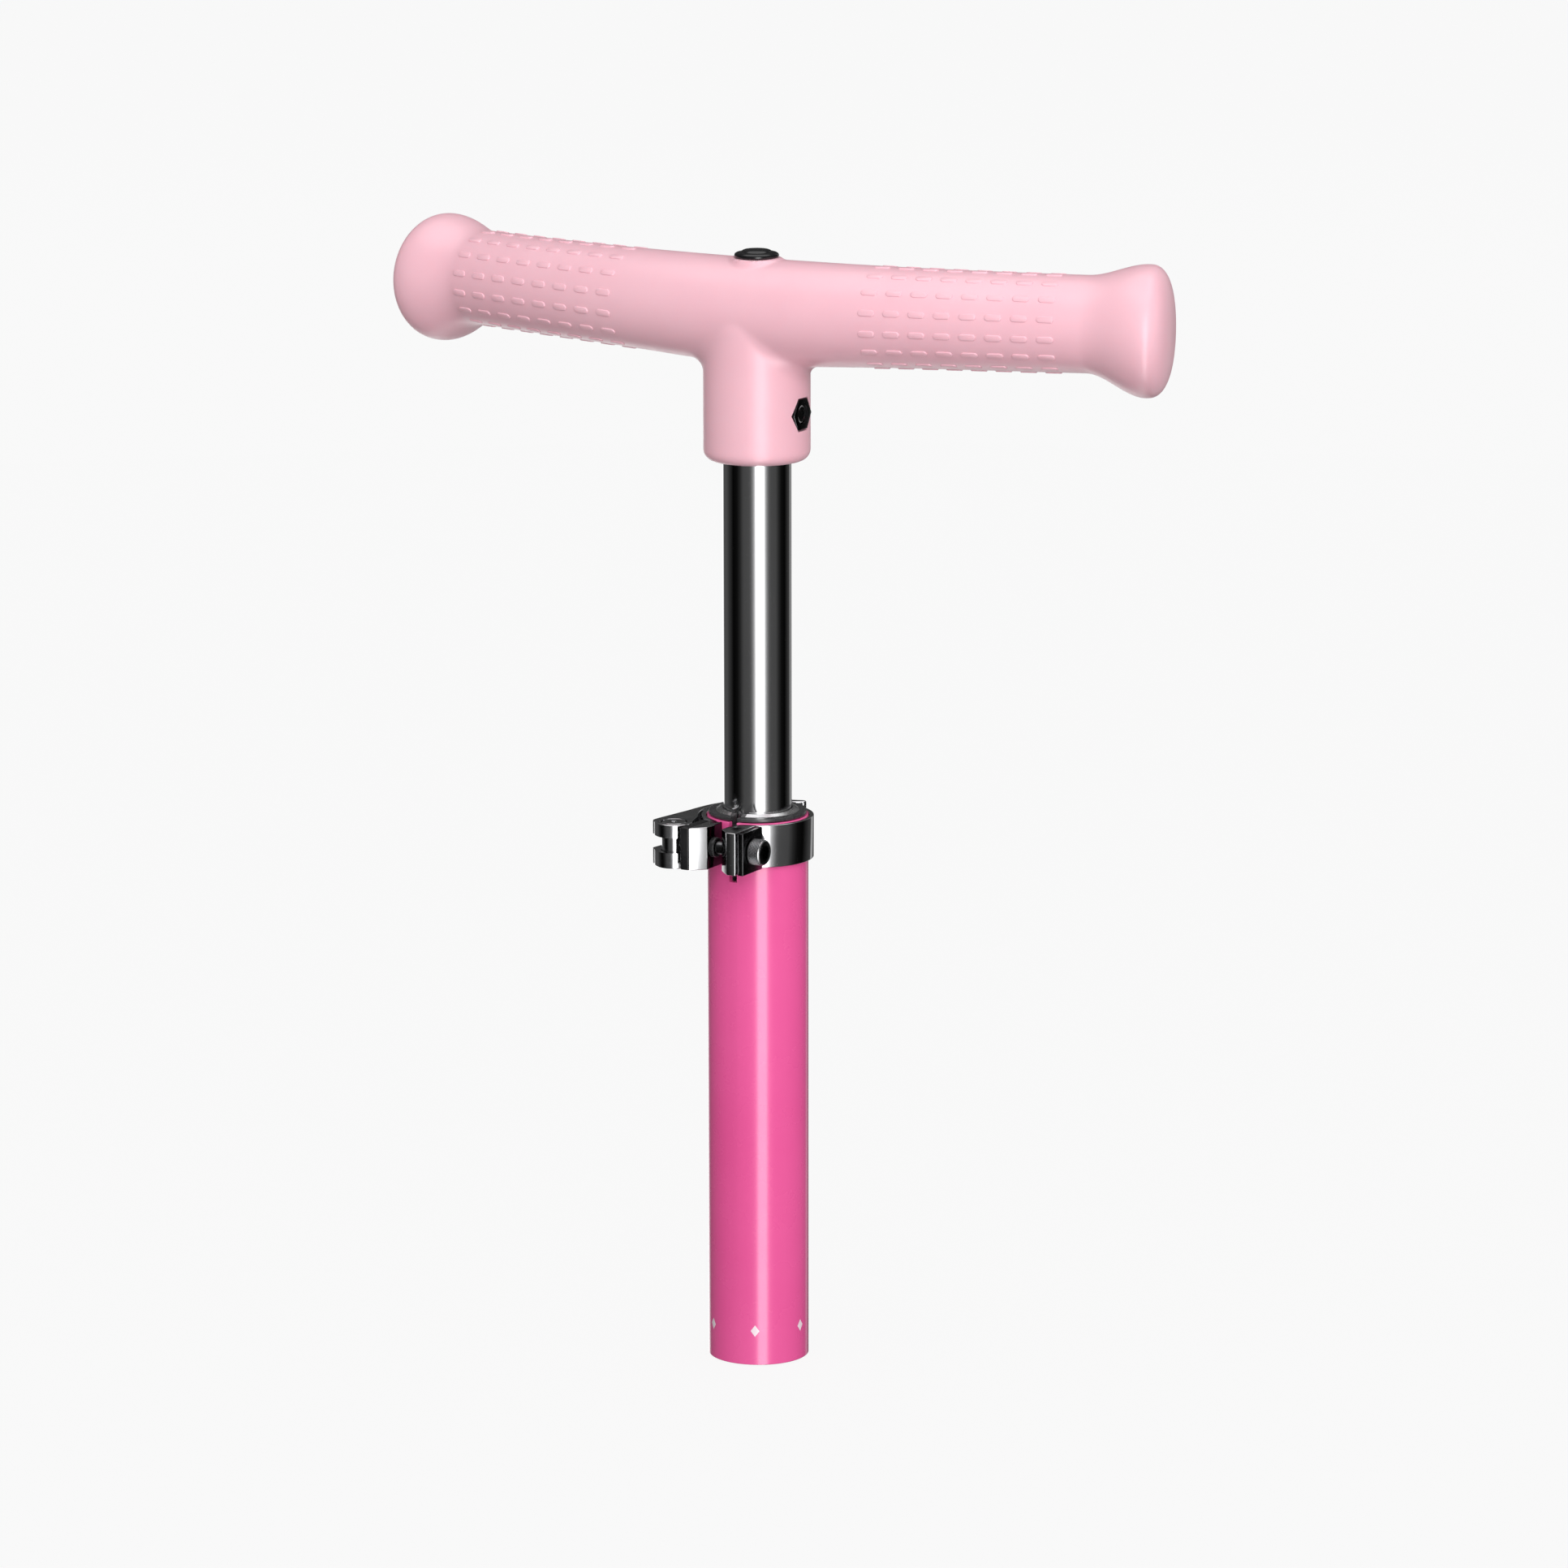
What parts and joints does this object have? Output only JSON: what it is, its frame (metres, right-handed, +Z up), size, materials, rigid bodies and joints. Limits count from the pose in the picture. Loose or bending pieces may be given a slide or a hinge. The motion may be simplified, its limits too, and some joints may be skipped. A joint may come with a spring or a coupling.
{
  "type": "kick scooter steering column",
  "caption": "Child's scooter T-bar: curved soft-grip handlebar on a telescopic tube, held in an outer tube by a quick-release cam clamp and a sprung height button.",
  "frame": {"origin": "centre of the lower end face of the outer tube, on the steering axis", "axes": "+Z up the steering axis, +X along the bar, -Y towards the front, where the clamp bolt is"},
  "size_m": [0.2816, 0.0715, 0.3681],
  "materials": {
    "grip_pink": "satin",
    "tube_pink": "gloss",
    "chrome": "polished",
    "dark_chrome": "polished",
    "black_plastic": "satin",
    "grey_plastic": "matte",
    "core_plastic": "matte",
    "black_steel": "satin",
    "spring_steel": "satin"
  },
  "bodies": {
    "column": {"outer_tube": "tube_pink", "upper_bushing": "grey_plastic", "clamp_collar": "dark_chrome", "clamp_spacer": "black_steel", "clamp_shoe": "black_plastic", "clamp_bolt": "black_steel", "bolt_keeper_ring": "black_plastic", "barrel_nut": "dark_chrome"},
    "handlebar": {"inner_tube": "chrome", "guide_sleeve": "grey_plastic", "button_spring": "spring_steel", "handlebar_core": "core_plastic", "handlebar_grip": "grip_pink", "cross_bolt": "black_steel", "cross_nut": "black_steel", "top_cap": "black_plastic"},
    "lever": {"cam_lever": "dark_chrome"},
    "button": {"height_button": "dark_chrome"}
  },
  "joints": [
    {"name": "height_slide", "type": "slide", "parent": "column", "child": "handlebar", "axis": [0, 0, 1], "range_m": [-0.108, 0]},
    {"name": "lever_pivot", "type": "hinge", "parent": "column", "child": "lever", "pos_m": [-0.0181, -0.0232, 0.1747], "axis": [0, 0, 1], "range_deg": [0, 110]},
    {"name": "button_press", "type": "slide", "parent": "handlebar", "child": "button", "axis": [0, -1, 0], "range_m": [0, 0.0039], "stiffness_N_per_m": 800, "springref_m": -0.002, "deforming": ["button_spring"]}
  ]
}
